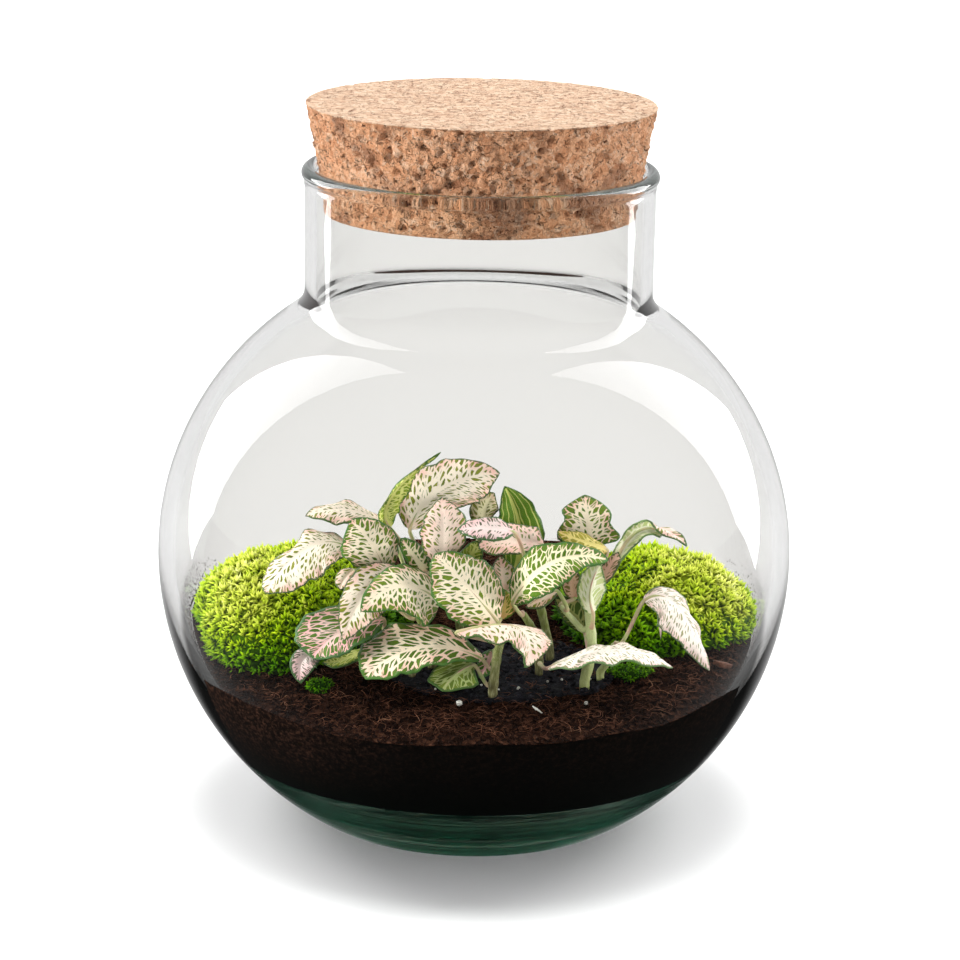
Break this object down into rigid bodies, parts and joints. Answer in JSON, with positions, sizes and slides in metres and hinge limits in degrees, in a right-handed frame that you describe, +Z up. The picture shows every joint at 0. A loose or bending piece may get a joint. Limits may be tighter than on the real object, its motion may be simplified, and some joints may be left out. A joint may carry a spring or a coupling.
{
  "type": "closed glass plant terrarium",
  "caption": "Spherical clear glass jar with a short neck and cork stopper, holding dark soil, moss cushions and a small nerve plant whose net-veined leaves are cream, pink and green.",
  "frame": {"origin": "centre of the flat foot that the jar stands on", "axes": "+Z up along the jar's axis, -Y towards the front, which the plant faces, +X to the right seen from the front"},
  "size_m": [0.2, 0.2, 0.2265],
  "materials": {
    "jar_glass": "polished",
    "cork": "matte",
    "soil": "matte",
    "root_ball_soil": "matte",
    "moss": "matte",
    "stem": "satin",
    "leaf_cream": "satin",
    "leaf_green": "satin"
  },
  "bodies": {
    "root": {"cork_stopper": "cork", "glass_jar": "jar_glass", "leaf_back_khaki": "leaf_cream", "leaf_back_veined": "leaf_green", "leaf_bud": "leaf_green", "leaf_centre_arched": "leaf_cream", "leaf_centre_large": "leaf_cream", "leaf_centre_pink": "leaf_cream", "leaf_centre_yellow": "leaf_green", "leaf_crown_folded": "leaf_cream", "leaf_crown_front": "leaf_cream", "leaf_far_left": "leaf_cream", "leaf_far_right_twisted": "leaf_cream", "leaf_front_centre": "leaf_cream", "leaf_front_hanging": "leaf_cream", "leaf_front_left": "leaf_cream", "leaf_front_right": "leaf_cream", "leaf_front_small": "leaf_cream", "leaf_inner_pink": "leaf_cream", "leaf_left_back": "leaf_cream", "leaf_left_curled": "leaf_cream", "leaf_left_inner": "leaf_green", "leaf_left_middle": "leaf_cream", "leaf_left_pink": "leaf_cream", "leaf_left_small": "leaf_cream", "leaf_left_under": "leaf_cream", "leaf_left_upright": "leaf_cream", "leaf_right_arched": "leaf_cream", "leaf_right_back": "leaf_cream", "leaf_right_brown": "leaf_cream", "leaf_right_folded": "leaf_green", "leaf_right_net": "leaf_cream", "leaf_right_ochre": "leaf_cream", "leaf_right_shaded": "leaf_green", "leaf_right_small": "leaf_cream", "leaf_right_underside": "leaf_cream", "leaf_top_curled": "leaf_cream", "leaf_top_large": "leaf_cream", "moss_cushion_left": "moss", "moss_cushion_right": "moss", "moss_tuft_left": "moss", "moss_tuft_right": "moss", "root_ball": "root_ball_soil", "soil": "soil", "stem_back_left": "stem", "stem_branch": "stem", "stem_centre_back": "stem", "stem_far_right": "stem", "stem_front": "stem", "stem_left": "stem", "stem_middle": "stem", "stem_right": "stem", "stem_right_back": "stem"}
  },
  "joints": []
}
